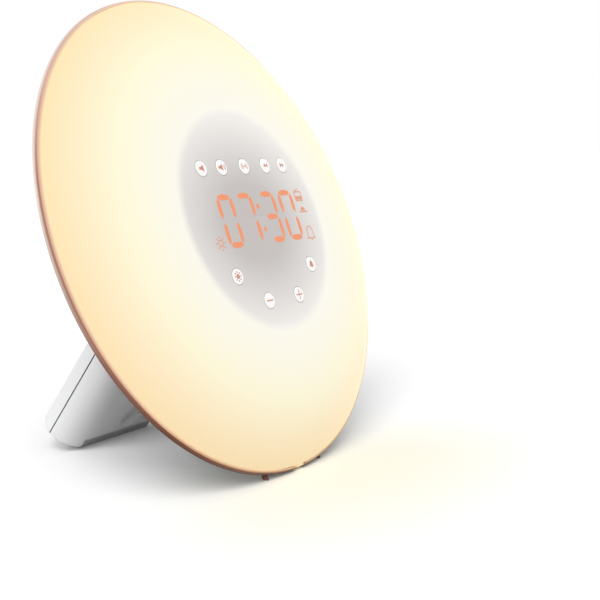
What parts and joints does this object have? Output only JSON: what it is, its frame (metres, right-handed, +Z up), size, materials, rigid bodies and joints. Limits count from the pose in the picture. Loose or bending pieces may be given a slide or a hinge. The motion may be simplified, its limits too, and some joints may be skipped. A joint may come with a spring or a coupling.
{
  "type": "sunrise alarm clock",
  "caption": "Tilted round wake-up lamp with a domed glowing diffuser, clock figures, press keys, a copper rim and a hollow rear leg.",
  "frame": {"origin": "on the table, under the middle of the whole clock's box", "axes": "+X to the right seen from the front, +Y to the rear, +Z up; the face looks towards -Y and up"},
  "size_m": [0.188, 0.1076, 0.176],
  "materials": {
    "glow_diffuser": "translucent opal moulding, satin",
    "copper_trim": "rose copper metallised plastic, gloss",
    "white_housing": "fine textured white ABS",
    "white_keys": "polished white ABS",
    "white_inner": "white reflector plastic",
    "grey_tub": "grey light-blocking plastic",
    "segment_orange": "tinted clear light guides",
    "board_green": "solder-masked glass epoxy",
    "board_white": "white-masked aluminium board",
    "led_package": "LED packages with phosphor",
    "black_parts": "black moulded parts",
    "plunger_nylon": "natural nylon",
    "cone_paper": "pressed paper",
    "ferrite": "ferrite and plated yoke",
    "tin_can": "drawn can and sleeves",
    "flex_film": "polyimide flex",
    "screw_steel": "zinc plated steel",
    "dark_rubber": "soft anti-slip rubber",
    "foot_rubber": "brown rubber pegs"
  },
  "bodies": {
    "housing": {"antenna_grommet": "dark_rubber", "backup_capacitor": "tin_can", "board_screws": "screw_steel", "capacitors": "tin_can", "control_chips": "black_parts", "digit_block": "white_inner", "display_board": "board_green", "display_leds": "led_package", "display_ribbon": "flex_film", "display_tub": "grey_tub", "front_diffuser": "glow_diffuser", "front_foot_left": "foot_rubber", "front_foot_right": "foot_rubber", "housing_screws": "screw_steel", "key_switches": "black_parts", "led_board": "board_white", "led_chips": "led_package", "leg_foot_strip": "dark_rubber", "leg_front_shell": "white_housing", "leg_rear_shell": "white_housing", "leg_screws": "screw_steel", "main_board": "board_green", "power_inlet": "black_parts", "rear_cover": "white_housing", "reflector": "white_inner", "segment_guides": "segment_orange", "speaker_basket": "black_parts", "speaker_cone": "cone_paper", "speaker_grille": "white_housing", "speaker_magnet": "ferrite", "speaker_screws": "screw_steel", "trim_ring": "copper_trim", "tuner_module": "tin_can"},
    "volume_down_key": {"volume_down_button": "white_keys", "volume_down_plunger": "plunger_nylon"},
    "volume_up_key": {"volume_up_button": "white_keys", "volume_up_plunger": "plunger_nylon"},
    "radio_key": {"radio_button": "white_keys", "radio_plunger": "plunger_nylon"},
    "search_down_key": {"search_down_button": "white_keys", "search_down_plunger": "plunger_nylon"},
    "search_up_key": {"search_up_button": "white_keys", "search_up_plunger": "plunger_nylon"},
    "light_key": {"light_button": "white_keys", "light_plunger": "plunger_nylon"},
    "alarm_key": {"alarm_button": "white_keys", "alarm_plunger": "plunger_nylon"},
    "minus_key": {"minus_button": "white_keys", "minus_plunger": "plunger_nylon"},
    "plus_key": {"plus_button": "white_keys", "plus_plunger": "plunger_nylon"}
  },
  "joints": [
    {"name": "volume_down_press", "type": "slide", "parent": "housing", "child": "volume_down_key", "axis": [0, 0.9336, -0.3584], "range_m": [0, 0.0005], "stiffness_N_per_m": 400, "springref_m": -0.0003},
    {"name": "volume_up_press", "type": "slide", "parent": "housing", "child": "volume_up_key", "axis": [0, 0.9336, -0.3584], "range_m": [0, 0.0005], "stiffness_N_per_m": 400, "springref_m": -0.0003},
    {"name": "radio_press", "type": "slide", "parent": "housing", "child": "radio_key", "axis": [0, 0.9336, -0.3584], "range_m": [0, 0.0005], "stiffness_N_per_m": 400, "springref_m": -0.0003},
    {"name": "search_down_press", "type": "slide", "parent": "housing", "child": "search_down_key", "axis": [0, 0.9336, -0.3584], "range_m": [0, 0.0005], "stiffness_N_per_m": 400, "springref_m": -0.0003},
    {"name": "search_up_press", "type": "slide", "parent": "housing", "child": "search_up_key", "axis": [0, 0.9336, -0.3584], "range_m": [0, 0.0005], "stiffness_N_per_m": 400, "springref_m": -0.0003},
    {"name": "light_press", "type": "slide", "parent": "housing", "child": "light_key", "axis": [0, 0.9336, -0.3584], "range_m": [0, 0.0005], "stiffness_N_per_m": 400, "springref_m": -0.0003},
    {"name": "alarm_press", "type": "slide", "parent": "housing", "child": "alarm_key", "axis": [0, 0.9336, -0.3584], "range_m": [0, 0.0005], "stiffness_N_per_m": 400, "springref_m": -0.0003},
    {"name": "minus_press", "type": "slide", "parent": "housing", "child": "minus_key", "axis": [0, 0.9336, -0.3584], "range_m": [0, 0.0005], "stiffness_N_per_m": 400, "springref_m": -0.0003},
    {"name": "plus_press", "type": "slide", "parent": "housing", "child": "plus_key", "axis": [0, 0.9336, -0.3584], "range_m": [0, 0.0005], "stiffness_N_per_m": 400, "springref_m": -0.0003}
  ]
}
